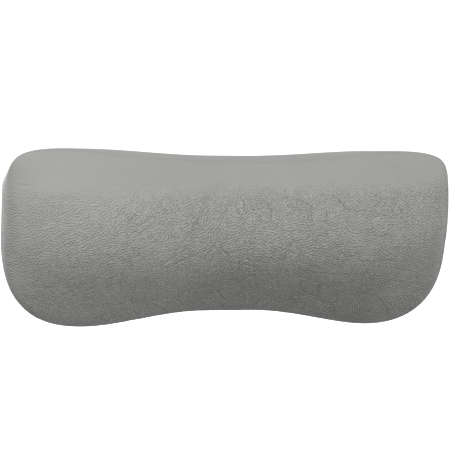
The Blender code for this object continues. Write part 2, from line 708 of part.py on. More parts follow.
def make_carriage(parent):
    """Block with a neck through the rail's slot, a clamp flange on its right and two ears for the pivot."""
    half, neck = BLOCK_WIDTH / 2, NECK_WIDTH / 2
    front, rear = BLOCK_Y
    plan = [
        (-half, front, 0.003, 4),
        (FLANGE_X[1], front, 0.003, 4),
        (FLANGE_X[1], FLANGE_Y, 0.002, 3),
        (FLANGE_X[0], FLANGE_Y, 0.0005, 2),
        (FLANGE_X[0], rear, 0.0002, 1),
        (neck, rear, 0.0005, 2),
        (neck, NECK_Y, 0.0005, 2),
        (-neck, NECK_Y, 0.0005, 2),
        (-neck, rear, 0.0005, 2),
        (-half, rear, 0.0005, 2),
    ]
    top = BLOCK_HEIGHT / 2
    block = prism(rounded(plan), "Z", -top, top, 0.0006)
    block = add_piece("carriage_block", block, "carriage_nylon", parent)
    root = front + 0.003
    ear = tongue_outline((PIVOT_Y, PIVOT_Z), PIVOT_END, root, -top + 0.004, top - 0.001)
    tongue_reach, tongue_thickness, tongue_height = TONGUE
    tongue_y = (CHANNEL_Y - tongue_thickness / 2, CHANNEL_Y + tongue_thickness / 2)
    tongue = box(
        (-tongue_reach, tongue_y[0], -tongue_height / 2), (tongue_reach, tongue_y[1], tongue_height / 2)
    )
    ears = [prism(ear, "X", side * EAR_X[0], side * EAR_X[1], 0.0006) for side in (-1, 1)]
    combine(block, [*ears, tongue], "UNION")

    reach = EAR_X[1] + BEYOND
    cuts = [placed(rod(PIVOT_BORE, -reach, reach), (0.0, PIVOT_Y, PIVOT_Z), ALONG["+X"])]
    hole = rod(CLAMP_HOLE, FLANGE_X[0] - GAP, FLANGE_X[1] + BEYOND)
    cuts.append(placed(hole, (0.0, CLAMP_Y, 0.0), ALONG["+X"]))
    for side in (-1, 1):
        recess = rectangle(0.017, 0.030, 0.002, (side * 0.0105, 0.0))
        cuts.append(prism(recess, "Y", front - BEYOND, front + 0.005))
    combine(block, cuts, "DIFFERENCE")


def make_glides(parent):
    """Low-friction shoes over the carriage's two tongues; each one's pocket opens towards the middle."""
    thickness, height = GLIDE_SIZE
    pocket_depth, pocket_thickness, pocket_height = GLIDE_POCKET
    inner, outer = GLIDE_X
    middle = (0.0, CHANNEL_Y, 0.0)
    for name, turn in (("right", 0.0), ("left", math.pi)):
        shoe = prism(
            rounded(
                [
                    (inner, -thickness / 2, 0.0003, 1),
                    (outer, -thickness / 2, 0.0006, 2),
                    (outer, thickness / 2, 0.0006, 2),
                    (inner, thickness / 2, 0.0003, 1),
                ]
            ),
            "Z",
            -height / 2,
            height / 2,
            0.0004,
        )
        pocket = box(
            (inner - BEYOND, -pocket_thickness / 2, -pocket_height / 2),
            (inner + pocket_depth, pocket_thickness / 2, pocket_height / 2),
        )
        placed(shoe, middle, (0.0, 0.0, turn))
        glide = add_piece(f"glide_{name}", shoe, "acetal", parent)
        combine(glide, [placed(pocket, middle, (0.0, 0.0, turn))], "DIFFERENCE")


def knob_ring(radius, x, lobe_height):
    count = KNOB_LOBES * 6
    ring = []
    for i in range(count):
        angle = 2 * math.pi * i / count
        reach = radius + lobe_height * math.cos(KNOB_LOBES * angle)
        ring.append((x, CLAMP_Y + reach * math.cos(angle), reach * math.sin(angle)))
    return ring


def lofted(rings):
    """Closed solid through rings of equal counts of points, capped at the first and the last."""
    bm = bmesh.new()
    rings = [[bm.verts.new(point) for point in ring] for ring in rings]
    for one, other in zip(rings, rings[1:]):
        count = len(one)
        for i in range(count):
            bm.faces.new((one[i], one[(i + 1) % count], other[(i + 1) % count], other[i]))
    bm.faces.new(rings[0])
    bm.faces.new(rings[-1])
    return bm


def make_clamp(carriage, feed, screw):
    """Knob and stud turn; the swivel pad on the stud's tip only moves along with them."""
    axis = (0.0, CLAMP_Y, 0.0)
    insert = sleeve(STUD_RADIUS + GAP, CLAMP_HOLE - GAP, *INSERT_X)
    add_piece("clamp_insert", placed(insert, axis, ALONG["+X"]), "brass", carriage)

    socket, socket_depth = CLAMP_SOCKET
    face, back = CLAMP_PAD_X
    pad = turned(
        [
            (0.0, face),
            (CLAMP_PAD_RADIUS - 0.0003, face),
            (CLAMP_PAD_RADIUS, face + 0.0003),
            (CLAMP_PAD_RADIUS, back),
            (socket, back),
            (socket, back - socket_depth),
            (0.0, back - socket_depth),
        ]
    )
    add_piece("pressure_pad", placed(pad, axis, ALONG["+X"]), "acetal", feed)

    start, end = STUD_X
    tip, tip_length = STUD_TIP
    stud = turned(
        [
            (0.0, start - GAP - tip_length),
            (tip, start - GAP - tip_length),
            (tip, start),
            (STUD_RADIUS, start),
            (STUD_RADIUS, end),
            (0.0, end),
        ]
    )
    add_piece("clamp_stud", placed(stud, axis, ALONG["+X"]), "zinc_steel", screw)

    bore = STUD_RADIUS + GAP
    knob = lofted(
        knob_ring(radius, x, lobes)
        for radius, x, lobes in (
            (bore, end + 2 * GAP, 0.0),
            (bore, KNOB_X, 0.0),
            (0.0068, KNOB_X, 0.0),
            (0.0072, KNOB_X + 0.0004, 0.0),
            (0.0072, KNOB_X + 0.0020, 0.0),
            (KNOB_RADIUS - 0.0010, KNOB_X + 0.0030, KNOB_LOBE_HEIGHT),
            (KNOB_RADIUS, KNOB_X + 0.0040, KNOB_LOBE_HEIGHT),
            (KNOB_RADIUS, KNOB_X + 0.0120, KNOB_LOBE_HEIGHT),
            (KNOB_RADIUS - 0.0004, KNOB_X + 0.0134, KNOB_LOBE_HEIGHT),
            (KNOB_RADIUS - 0.0016, KNOB_X + 0.0145, KNOB_LOBE_HEIGHT / 2),
            (KNOB_RADIUS - 0.0045, KNOB_X + 0.0150, 0.0),
        )
    )
    add_piece("clamp_knob", knob, "knob_plastic", screw)


def main():
    clear_scene()
    carriage = add_empty("height_slide", (0.0, CHANNEL_Y, 0.0))
    pad = add_empty("tilt", (0.0, PIVOT_Y, PIVOT_Z), carriage)
    feed = add_empty("clamp_feed", (FLANGE_X[1], CLAMP_Y, 0.0), carriage)
    screw = add_empty("clamp_turn", (FLANGE_X[1], CLAMP_Y, 0.0), feed)
    make_rail()
    make_end_stops()
    make_carriage(carriage)
    make_glides(carriage)
    make_pivot(carriage, pad)
    make_clamp(carriage, feed, screw)
    make_bracket(pad)
    make_bracket_bolts(pad)
    make_board_and_shell(pad)
    make_pad(pad)


main()
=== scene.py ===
"""Looks for the tilting headrest: leather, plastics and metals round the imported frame, in metres."""

import math

import bmesh
import bpy
import numpy as np
from mathutils import Matrix, Vector
from mathutils.bvhtree import BVHTree


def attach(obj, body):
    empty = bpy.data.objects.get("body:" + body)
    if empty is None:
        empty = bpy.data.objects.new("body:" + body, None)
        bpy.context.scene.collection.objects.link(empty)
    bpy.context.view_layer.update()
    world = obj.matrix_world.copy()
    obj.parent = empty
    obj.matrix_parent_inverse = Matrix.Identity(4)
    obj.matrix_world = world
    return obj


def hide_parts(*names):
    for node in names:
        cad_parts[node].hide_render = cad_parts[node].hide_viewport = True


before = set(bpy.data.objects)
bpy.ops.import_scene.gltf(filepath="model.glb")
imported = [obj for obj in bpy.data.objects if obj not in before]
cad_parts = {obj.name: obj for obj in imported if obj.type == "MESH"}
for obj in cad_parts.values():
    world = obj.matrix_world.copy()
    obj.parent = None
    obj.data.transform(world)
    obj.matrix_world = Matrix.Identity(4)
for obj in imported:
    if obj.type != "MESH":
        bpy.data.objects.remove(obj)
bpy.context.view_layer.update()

GAP = 0.0003  # between pieces that touch
EDGE_ROUNDING = 0.00022  # of the hard pieces

# Camera: left of straight ahead, a little above, and slightly turned about its own line of sight
CAMERA_YAW = math.radians(14.38)
CAMERA_ELEVATION = math.radians(11.14)
CAMERA_ROLL = math.radians(2.75)
CAMERA_DISTANCE = 1.426
CAMERA_TARGET = (-0.0046, -0.0861, 0.0088)
CAMERA_LENS = 164.4

# Studio: light from all round, and square softboxes that look at the pad
WORLD_LIGHT = 0.45
SOFTBOX_DISTANCE = 3.0
SOFTBOX_SIDE = 1.6
SOFTBOX_TARGET = (0.0, -0.06, 0.012)
SOFTBOXES = {  # azimuth from the front, positive to the right, and elevation, in degrees, then watts
    "upper_left": (-52.0, 55.0, 65.0),
    "front": (-10.0, 0.0, 28.0),
    "right_side": (80.0, 12.0, 34.0),
    "rear_fill": (200.0, 12.0, 60.0),
}
FLOOR_Z = -0.6
FLOOR_RADIUS = 12.0
DOME_RADIUS = 13.0

# Pad: the sizes that its CAD solid has
PAD_WIDTH = 0.300
PAD_BACK_Y = -0.0566
PAD_MIDDLE_Z = 0.012
PAD_RISE = {"top": (0.010, 0.178), "bottom": (0.018, 0.136), "nose": (0.0105, 0.1005)}
PAD_WAIST = {"top": 0.0483, "bottom": 0.0530, "radius": 0.0445, "depth": 0.0195, "up": -0.0009}
PAD_LOBE = {"top": 0.0615, "bottom": 0.0723, "radius": 0.0505, "depth": 0.0215, "up": 0.0003}
PAD_BROW_SLOPE = math.radians(46.1)
PAD_CHIN_SLOPE = math.radians(-38.6)
PAD_BROW_RADIUS = 0.009
PAD_CHIN_RADIUS = 0.026
PAD_BACK_RADIUS = 0.0096
PAD_END_DEPTH = 0.0238
PAD_END_UP = 0.0219
PAD_END_POWER = {"top": 4.9, "top_back": 2.8, "bottom": 4.2, "front": 2.22, "back": 11.1}
PAD_END_BLEND = {"top": 0.030, "up": 0.080, "depth": 0.080}
PAD_STRAIGHT = 0.8
PAD_CROWDING = 5.0
PAD_RINGS = (150, 44)  # in the straight share of each half, and in the rest
PAD_ARC_STEPS = (5, 10, 84, 9, 5)  # back, chin, nose, brow, back
PAD_RUN_STEPS = (16, 40, 34, 14, 14)  # bottom, chin plane, brow plane, top, back
# Round the tip of each end the skin is wholly relaxed within the first reach, and not beyond the second
PAD_RELAX_REACH = (0.012, 0.032)
PAD_RELAX_BACK = 0.5  # the reach towards the back, as a share of the rest
PAD_RELAX_RADII = (0.0022, 0.0044, 0.0066)
PAD_RELAX_SPOKES = 12

# Rebate and pocket behind the pad
SHELL_INSET = 0.002
SHELL_END_INSET = 0.014
SHELL_END_HEIGHT = 0.030
SHELL_Y = PAD_BACK_Y + GAP
BOARD_Y = SHELL_Y - 0.003 - GAP
BOARD_SIZE = (0.240, 0.062)
BOARD_CORNER = 0.008
POCKET_DEPTH = 0.0115

# Hide: its wrinkles fall away from the pad's middle, and its grain fades on the brow and behind
HIDE_ARCH_BEND = 0.028
HIDE_FALL = (0.60, -0.20)  # how the wrinkles tilt at the left and right ends, in radians
HIDE_TURN = 4.0  # radians that noise may turn the wrinkles by
HIDE_TURN_SCALE = 48.0
HIDE_WRINKLES = {"scale": 235.0, "frequency": 2.45, "straightness": 0.5}
HIDE_FINE = {"scale": 320.0, "frequency": 2.1, "straightness": 0.4}
HIDE_FINE_TURN = 1.2  # radians from the wrinkles to the fine ones
HIDE_DRIFT = (190.0, 0.003)  # scale of the noise that moves the cells, and how far it does
HIDE_NETWORK_SCALE = 400.0
HIDE_LINES_SCALE = 58.0
HIDE_SHARES = {"wrinkles": 0.56, "fine": 0.18, "network": 0.32, "lines": 0.45, "pores": 0.1}
HIDE_PORES_SCALE = 1500.0
HIDE_DEPTH = 0.00108
HIDE_FADE_Z = (0.0355, 0.0525)
HIDE_FADE_TILT = 0.022  # the height of the fade rises to the right
HIDE_ENDS = (0.52, 0.85)  # relief at the left and right ends, as shares of the relief in the middle
HIDE_FADE_TO = 0.10
HIDE_DEEP_Z = (0.015, -0.040)  # the grain deepens downwards
HIDE_DEEP = 1.7
HIDE_PAINTED_VALLEY_SHADE = 0.10  # painted shade: how much darker its valleys are painted, low on the pad
HIDE_PAINTED_RIDGE_LIGHT = 0.16  # painted light: how much paler its ridges are painted, where the grain is full, in place of the light that the relief takes away
HIDE_BACK_Y = (-0.062, -0.078)
HIDE_END_X = (0.137, 0.1465)  # beyond these the grain lies in the plane of the pad's end
CREASE_SEED = 7
CREASE_COUNT = 170
CREASE_SPAN = {"across": 0.150, "low": -0.078, "high": 0.040}
CREASE_LENGTH = (0.010, 0.040)
CREASE_DEPTH = (0.00012, 0.00038)
CREASE_WIDTH = (0.0006, 0.0010)
CREASE_STAR = (0.101, 0.020)  # where several folds meet, in skin coordinates
CREASE_STAR_RAYS = 9


# ---------------------------------------------------------------- camera, light and floor


def add_camera():
    data = bpy.data.cameras.new("camera")
    data.lens = CAMERA_LENS
    data.sensor_width = 36.0
    camera = bpy.data.objects.new("camera", data)
    flat = math.cos(CAMERA_ELEVATION)
    back = Vector((-math.sin(CAMERA_YAW) * flat, -math.cos(CAMERA_YAW) * flat, math.sin(CAMERA_ELEVATION)))
    camera.location = Vector(CAMERA_TARGET) + back * CAMERA_DISTANCE
    turn = (-back).to_track_quat("-Z", "Y").to_matrix().to_4x4()
    roll = Matrix.Rotation(CAMERA_ROLL, 4, "Z")
    camera.rotation_euler = (turn @ roll).to_euler()
    bpy.context.scene.collection.objects.link(camera)
    bpy.context.scene.camera = camera


def add_softbox(name, azimuth, elevation, power):
    data = bpy.data.lights.new(name, "AREA")
    data.shape = "RECTANGLE"
    data.size = SOFTBOX_SIDE
    data.size_y = SOFTBOX_SIDE
    data.energy = power
    lamp = bpy.data.objects.new(name, data)
    a, e = math.radians(azimuth), math.radians(elevation)
    back = Vector((math.sin(a) * math.cos(e), -math.cos(a) * math.cos(e), math.sin(e)))
    lamp.location = Vector(SOFTBOX_TARGET) + back * SOFTBOX_DISTANCE
    lamp.rotation_euler = back.to_track_quat("Z", "Y").to_euler()
    bpy.context.scene.collection.objects.link(lamp)


def add_world():
    world = bpy.data.worlds.new("studio")
    world.use_nodes = True
    background = world.node_tree.nodes["Background"]
    background.inputs["Color"].default_value = (1.0, 1.0, 1.0, 1.0)
    background.inputs["Strength"].default_value = WORLD_LIGHT
    bpy.context.scene.world = world


def glowing_material(name, colour, roughness, glow):
    material = bpy.data.materials.new(name)
    material.use_nodes = True
    shader = material.node_tree.nodes["Principled BSDF"]
    shader.inputs["Base Color"].default_value = (*colour, 1.0)
    shader.inputs["Roughness"].default_value = roughness
    shader.inputs["Emission Color"].default_value = (1.0, 1.0, 1.0, 1.0)
    shader.inputs["Emission Strength"].default_value = glow
    return material


def add_stage():
    """A pale floor under the object, and a white dome that only the camera sees."""
    bm = bmesh.new()
    bmesh.ops.create_circle(bm, cap_ends=True, segments=96, radius=FLOOR_RADIUS)
    mesh = bpy.data.meshes.new("floor")
    bm.to_mesh(mesh)
    bm.free()
    floor = bpy.data.objects.new("floor", mesh)
    floor.location.z = FLOOR_Z
    mesh.materials.append(glowing_material("floor_paint", (0.8, 0.8, 0.8), 0.9, 0.8))
    floor.visible_diffuse = False
    floor.visible_glossy = False
    bm = bmesh.new()
    bmesh.ops.create_uvsphere(bm, u_segments=48, v_segments=24, radius=DOME_RADIUS)
    mesh = bpy.data.meshes.new("dome")
    bm.to_mesh(mesh)
    bm.free()
    dome = bpy.data.objects.new("dome", mesh)
    mesh.materials.append(glowing_material("dome_paint", (0.0, 0.0, 0.0), 1.0, 1.0))
    dome.visible_diffuse = False
    dome.visible_glossy = False
    dome.visible_transmission = False
    dome.visible_shadow = False
    for item in (floor, dome):
        bpy.context.scene.collection.objects.link(item)


# ---------------------------------------------------------------- pad shape


def rounded(corners):
    """Arcs of a flat outline whose corners are (a, b, radius, steps), one list of points for each corner."""
    arcs = []
    for i, (a, b, radius, steps) in enumerate(corners):
        corner = Vector((a, b))
        before = (Vector(corners[i - 1][:2]) - corner).normalized()
        after = (Vector(corners[(i + 1) % len(corners)][:2]) - corner).normalized()
        half = before.angle(after) / 2
        reach = radius / math.tan(half)
        centre = corner + (before + after).normalized() * radius / math.sin(half)
        start = corner + before * reach - centre
        end = corner + after * reach - centre
        first = math.atan2(start.y, start.x)
        sweep = (math.atan2(end.y, end.x) - first + math.pi) % (2 * math.pi) - math.pi
        turns = [first + sweep * step / steps for step in range(steps + 1)]
        arcs.append([centre + radius * Vector((math.cos(t), math.sin(t))) for t in turns])
    return arcs


def eased(t):
    """Smooth step from 0 to 1, of a number or an array."""
    t = np.clip(t, 0.0, 1.0)
    return t * t * (3.0 - 2.0 * t)


def pad_size(key, rise, x):
    """A size that eases from its value at the waist to its value in the lobes."""
    start, end = PAD_RISE[rise]
    lobe = eased((abs(x) - start) / (end - start))
    return float(PAD_WAIST[key] * (1 - lobe) + PAD_LOBE[key] * lobe)


def pad_profile(x):
    """The pad's profile at x, as (depth, up) points round from the lower back edge."""
    top = pad_size("top", "top", x)
    bottom = pad_size("bottom", "bottom", x)
    radius = pad_size("radius", "nose", x)
    centre = Vector((pad_size("depth", "nose", x), pad_size("up", "nose", x)))
    brow = Vector((math.cos(PAD_BROW_SLOPE), math.sin(PAD_BROW_SLOPE)))
    chin = Vector((math.cos(PAD_CHIN_SLOPE), math.sin(PAD_CHIN_SLOPE)))
    nose = centre + (brow + chin) * radius / (1 + brow.dot(chin))
    top_front = centre.x + (radius - (top - centre.y) * brow.y) / brow.x
    bottom_front = centre.x + (radius + (bottom + centre.y) * chin.y) / chin.x
    corners = [
        (0.0, -bottom, PAD_BACK_RADIUS),
        (bottom_front, -bottom, PAD_CHIN_RADIUS),
        (nose.x, nose.y, radius),
        (top_front, top, PAD_BROW_RADIUS),
        (0.0, top, PAD_BACK_RADIUS),
    ]
    arcs = rounded([(*corner, steps) for corner, steps in zip(corners, PAD_ARC_STEPS)])
    points = []
    for arc, following, steps in zip(arcs, arcs[1:] + arcs[:1], PAD_RUN_STEPS):
        points += arc
        points += [arc[-1].lerp(following[0], step / steps) for step in range(1, steps)]
    return np.array([tuple(point) for point in points])


def narrowing(share, power):
    """How much is left of a size at that share of the way to the end, as in a superellipse."""
    return (1.0 - share**power) ** (1.0 / power)


def between(first, second, t):
    """Power that goes smoothly from first to second as t goes from 0 to 1."""
    t = eased(t)
    return 1.0 / ((1.0 - t) / first + t / second)


def pad_ring(share):
    """Points round the pad at a signed share of its half width."""
    x = share * PAD_WIDTH / 2
    near = abs(share)
    power = PAD_END_POWER
    blend = PAD_END_BLEND
    depth, up = pad_profile(x).T
    past_depth = depth - PAD_END_DEPTH
    past_up = up - PAD_END_UP
    top = between(power["top_back"], power["top"], depth / blend["top"])
    tall = narrowing(near, between(power["bottom"], top, past_up / blend["up"] + 0.5))
    deep = narrowing(near, between(power["back"], power["front"], past_depth / blend["depth"] + 0.5))
    ring_depth = PAD_END_DEPTH + past_depth * deep
    ring_up = PAD_END_UP + past_up * tall
    return np.column_stack([np.full(len(up), x), PAD_BACK_Y - ring_depth, PAD_MIDDLE_Z + ring_up])


def pad_shares():
    even, crowded = PAD_RINGS
    half = [PAD_STRAIGHT * i / even for i in range(even + 1)]
    half += [1 - (1 - PAD_STRAIGHT) * (1 - i / crowded) ** PAD_CROWDING for i in range(1, crowded)]
    return [-share for share in reversed(half[1:])] + half


def pad_grid():
    return np.array([pad_ring(share) for share in pad_shares()])


def grid_mesh(name, grid, tips):
    """Closed mesh through rings of equal counts of points, with a point at both ends."""
    rings, count = grid.shape[:2]
    points = np.concatenate([grid.reshape(-1, 3), tips])
    ring, place = np.meshgrid(np.arange(rings - 1), np.arange(count), indexing="ij")
    following = (place + 1) % count
    quads = np.stack(
        [
            ring * count + place,
            (ring + 1) * count + place,
            (ring + 1) * count + following,
            ring * count + following,
        ],
        axis=-1,
    ).reshape(-1, 4)
    around = np.arange(count)
    first = np.full(count, rings * count)
    last_start = (rings - 1) * count
    caps = [
        np.stack([around, (around + 1) % count, first], axis=-1),
        np.stack([last_start + (around + 1) % count, last_start + around, first + 1], axis=-1),
    ]
    faces = quads.tolist() + caps[0].tolist() + caps[1].tolist()
    mesh = bpy.data.meshes.new(name)
    mesh.from_pydata(points.tolist(), [], faces)
    mesh.validate()
    mesh.shade_smooth()
    return mesh


def add_object(name, mesh):
    item = bpy.data.objects.new(name, mesh)
    bpy.context.scene.collection.objects.link(item)
    return item


# ---------------------------------------------------------------- node helpers


class Nodes:
    """Short names for building a material's nodes."""

    def __init__(self, name):
        self.material = bpy.data.materials.new(name)
        self.material.use_nodes = True
        self.tree = self.material.node_tree
        self.shader = self.tree.nodes["Principled BSDF"]

    def add(self, kind, **settings):
        node = self.tree.nodes.new(kind)
        for key, value in settings.items():
            setattr(node, key, value)
        return node

    def feed(self, socket, value):
        if isinstance(value, bpy.types.NodeSocket):
            self.tree.links.new(value, socket)
        else:
            socket.default_value = value

    def math(self, operation, *values, clamp=False):
        node = self.add("ShaderNodeMath", operation=operation, use_clamp=clamp)
        for socket, value in zip(node.inputs, values):
            self.feed(socket, value)
        return node.outputs[0]

    def vector(self, operation, *values):
        node = self.add("ShaderNodeVectorMath", operation=operation)
        for socket, value in zip(node.inputs, values):
            self.feed(socket, value)
        return node.outputs[0]

    def place(self):
        return self.add("ShaderNodeTexCoord").outputs["Object"]

    def noise(self, where, scale, detail=2.0, roughness=0.5, colour=False):
        node = self.add("ShaderNodeTexNoise")
        self.feed(node.inputs["Vector"], where)
        node.inputs["Scale"].default_value = scale
        node.inputs["Detail"].default_value = detail
        node.inputs["Roughness"].default_value = roughness
        return node.outputs["Color" if colour else "Fac"]

    def bands(self, where, course, scale, frequency, straightness):
        """Wavy stripes across the course, an angle that may change from place to place."""
        node = self.add("ShaderNodeTexGabor", gabor_type="2D")
        self.feed(node.inputs["Vector"], where)
        node.inputs["Scale"].default_value = scale
        node.inputs["Frequency"].default_value = frequency
        node.inputs["Anisotropy"].default_value = straightness
        self.feed(node.inputs[4], course)
        return node.outputs["Value"]

    def cells(self, where, scale, feature="DISTANCE_TO_EDGE"):
        node = self.add("ShaderNodeTexVoronoi", feature=feature)
        self.feed(node.inputs["Vector"], where)
        node.inputs["Scale"].default_value = scale
        return node.outputs["Distance"]

    def split(self, vector):
        node = self.add("ShaderNodeSeparateXYZ")
        self.feed(node.inputs[0], vector)
        return node.outputs

    def join(self, a, b):
        """Flat coordinates made of two numbers."""
        node = self.add("ShaderNodeCombineXYZ")
        for socket, value in zip(node.inputs, (a, b)):
            self.feed(socket, value)
        return node.outputs[0]

    def mix(self, share, one, other):
        """Number that goes from one to other as share goes from 0 to 1."""
        node = self.add("ShaderNodeMix", data_type="FLOAT")
        self.feed(node.inputs[0], share)
        self.feed(node.inputs[2], one)
        self.feed(node.inputs[3], other)
        return node.outputs[0]

    def spread(self, value, low, high, to_low=0.0, to_high=1.0, smooth=False):
        """Value from low..high to to_low..to_high, held at both ends."""
        node = self.add("ShaderNodeMapRange", clamp=True)
        node.interpolation_type = "SMOOTHSTEP" if smooth else "LINEAR"
        for socket, number in zip(node.inputs, (value, low, high, to_low, to_high)):
            self.feed(socket, number)
        return node.outputs[0]

    def blend(self, share, one, other):
        node = self.add("ShaderNodeMix", data_type="RGBA")
        self.feed(node.inputs["Factor"], share)
        for socket, value in zip((node.inputs[6], node.inputs[7]), (one, other)):
            self.feed(socket, value if isinstance(value, bpy.types.NodeSocket) else (*value, 1.0))
        return node.outputs[2]

    def bump(self, height, depth):
        """Relief of that depth in metres where height goes from 0 to 1."""
        node = self.add("ShaderNodeBump")
        node.inputs["Strength"].default_value = 1.0
        node.inputs["Distance"].default_value = depth
        self.feed(node.inputs["Height"], height)
        return node.outputs[0]


def hide_grain(n, skin, fall):
    """Wrinkles and whole relief of the hide over flat coordinates; fall is how the wrinkles tilt."""
    turn = n.math("MULTIPLY", n.math("SUBTRACT", n.noise(skin, HIDE_TURN_SCALE, 2.0), 0.5), HIDE_TURN)
    course = n.math("ADD", n.math("ADD", fall, turn), math.pi / 2)
    wrinkles = n.spread(n.bands(skin, course, **HIDE_WRINKLES), 0.34, 0.58, smooth=True)
    cross_course = n.math("ADD", course, HIDE_FINE_TURN)
    fine = n.spread(n.bands(skin, cross_course, **HIDE_FINE), 0.32, 0.62, smooth=True)
    drift_scale, drift_reach = HIDE_DRIFT
    drift = n.vector("SUBTRACT", n.noise(skin, drift_scale, 2.0, colour=True), (0.5,) * 3)
    moved = n.vector("ADD", skin, n.vector("MULTIPLY", drift, (drift_reach,) * 3))
    network = n.spread(n.cells(moved, HIDE_NETWORK_SCALE), 0.0, 0.25, smooth=True)
    lines = n.spread(n.cells(moved, HIDE_LINES_SCALE), 0.0, 0.030, smooth=True)
    lines = n.math("MAXIMUM", lines, n.spread(n.noise(skin, 70.0, 1.0), 0.45, 0.52))
    height = 0.0
    for name, relief in (("wrinkles", wrinkles), ("fine", fine), ("network", network), ("lines", lines)):
        height = n.math("ADD", height, n.math("MULTIPLY", relief, HIDE_SHARES[name]))
    return wrinkles, height


def leather_material():
    """Embossed hide: fine wrinkles that turn to and fro, mostly along folds that arch over the middle."""
    n = Nodes("pad_leather")
    where = n.place()
    skin = n.add("ShaderNodeUVMap", uv_map="skin").outputs["UV"]
    across = n.split(skin)[0]
    x, y, z = n.split(where)
    bend = n.math("SQRT", n.math("ADD", n.math("MULTIPLY", across, across), HIDE_ARCH_BEND**2))
    fall = n.spread(n.math("DIVIDE", across, bend), -1.0, 1.0, *HIDE_FALL)
    end = n.spread(n.math("ABSOLUTE", x), *HIDE_END_X, smooth=True)
    pairs = zip(hide_grain(n, skin, fall), hide_grain(n, n.join(y, z), HIDE_FALL[1]))
    wrinkles, height = [n.mix(end, front, beside) for front, beside in pairs]
    pores = n.math("MULTIPLY", n.noise(where, HIDE_PORES_SCALE, 1.0), HIDE_SHARES["pores"])
    height = n.math("ADD", height, pores)
    patches = n.spread(n.noise(skin, 30.0, 1.0), 0.35, 0.65, 0.85, 1.15)
    tilted = n.math("SUBTRACT", z, n.math("MULTIPLY", across, HIDE_FADE_TILT))
    faded = n.spread(tilted, *HIDE_FADE_Z, 1.0, HIDE_FADE_TO, smooth=True)
    leftwards = n.spread(across, -0.10, 0.0, HIDE_ENDS[0], 1.0, smooth=True)
    rightwards = n.spread(across, 0.08, 0.12, 1.0, HIDE_ENDS[1], smooth=True)
    deeper = n.spread(z, *HIDE_DEEP_Z, 1.0, HIDE_DEEP)
    behind = n.spread(y, *HIDE_BACK_Y, HIDE_FADE_TO, 1.0)
    for share in (patches, faded, leftwards, rightwards, deeper, behind):
        height = n.math("MULTIPLY", height, share)
    tone = n.spread(n.noise(where, 22.0, 3.0), 0.35, 0.65)
    hide = n.blend(tone, (0.266, 0.270, 0.257), (0.278, 0.282, 0.269))
    # painted light: the ridges are painted paler where the grain is full, to make up for the shade of the
    # relief
    painted_ridge_light = n.math("MULTIPLY", n.math("MULTIPLY", wrinkles, faded), HIDE_PAINTED_RIDGE_LIGHT)
    hide = n.blend(painted_ridge_light, hide, (0.560, 0.568, 0.541))
    # painted shade in the wrinkles' valleys, darker towards the bottom of the pad
    low = n.spread(z, 0.025, -0.030, 0.0, HIDE_PAINTED_VALLEY_SHADE)
    valley = n.math("MULTIPLY", n.math("SUBTRACT", 1.0, wrinkles), low)
    n.feed(n.shader.inputs["Base Color"], n.blend(valley, hide, (0.0, 0.0, 0.0)))
    n.feed(n.shader.inputs["Roughness"], n.spread(wrinkles, 0.0, 1.0, 0.66, 0.56))
    n.shader.inputs["Specular IOR Level"].default_value = 0.4
    n.feed(n.shader.inputs["Normal"], n.bump(height, HIDE_DEPTH))
    return n.material


def worn_edges(n, reach, low=0.75, high=0.985):
    """1 on edges and corners within reach, broken up by noise, and 0 elsewhere."""
    bevel = n.add("ShaderNodeBevel", samples=4)
    bevel.inputs["Radius"].default_value = reach
    true_normal = n.add("ShaderNodeNewGeometry").outputs["True Normal"]
    facing = n.add("ShaderNodeVectorMath", operation="DOT_PRODUCT")
    n.feed(facing.inputs[0], bevel.outputs[0])
    n.feed(facing.inputs[1], true_normal)
    edge = n.spread(facing.outputs["Value"], low, high, 1.0, 0.0)
    return n.math("MULTIPLY", edge, n.spread(n.noise(n.place(), 240.0, 4.0, 0.7), 0.42, 0.62))


def stretched(n, factors):
    return n.vector("MULTIPLY", n.place(), factors)


def powder_coat():
    """Black powder coat on steel: fine orange peel, rubbed a little on its edges."""
    n = Nodes("black_powder_coat")
    where = n.place()
    peel = n.noise(where, 900.0, 2.0, 0.6)
    mottle = n.spread(n.noise(where, 60.0, 3.0), 0.3, 0.7)
    worn = n.math("MULTIPLY", worn_edges(n, 0.0006), 0.6)
    coat = n.blend(mottle, (0.020, 0.020, 0.022), (0.027, 0.027, 0.029))
    n.feed(n.shader.inputs["Base Color"], n.blend(worn, coat, (0.30, 0.30, 0.31)))
    n.feed(n.shader.inputs["Metallic"], worn)
    n.feed(n.shader.inputs["Roughness"], n.spread(peel, 0.25, 0.75, 0.42, 0.56))
    n.feed(n.shader.inputs["Normal"], n.bump(peel, 0.00005))
    return n.material


def zinc_plate():
    """Bright zinc: faint bluish and straw blotches, with drawing marks."""
    n = Nodes("zinc_plate")
    where = n.place()
    blotch = n.spread(n.noise(where, 130.0, 3.0, 0.6), 0.35, 0.65)
    marks = n.noise(stretched(n, (160.0, 1400.0, 1400.0)), 1.0, 2.0)
    n.feed(n.shader.inputs["Base Color"], n.blend(blotch, (0.52, 0.55, 0.59), (0.62, 0.60, 0.55)))
    n.shader.inputs["Metallic"].default_value = 1.0
    n.feed(n.shader.inputs["Roughness"], n.spread(n.math("ADD", marks, blotch), 0.4, 1.6, 0.24, 0.42))
    n.feed(n.shader.inputs["Normal"], n.bump(marks, 0.00002))
    return n.material


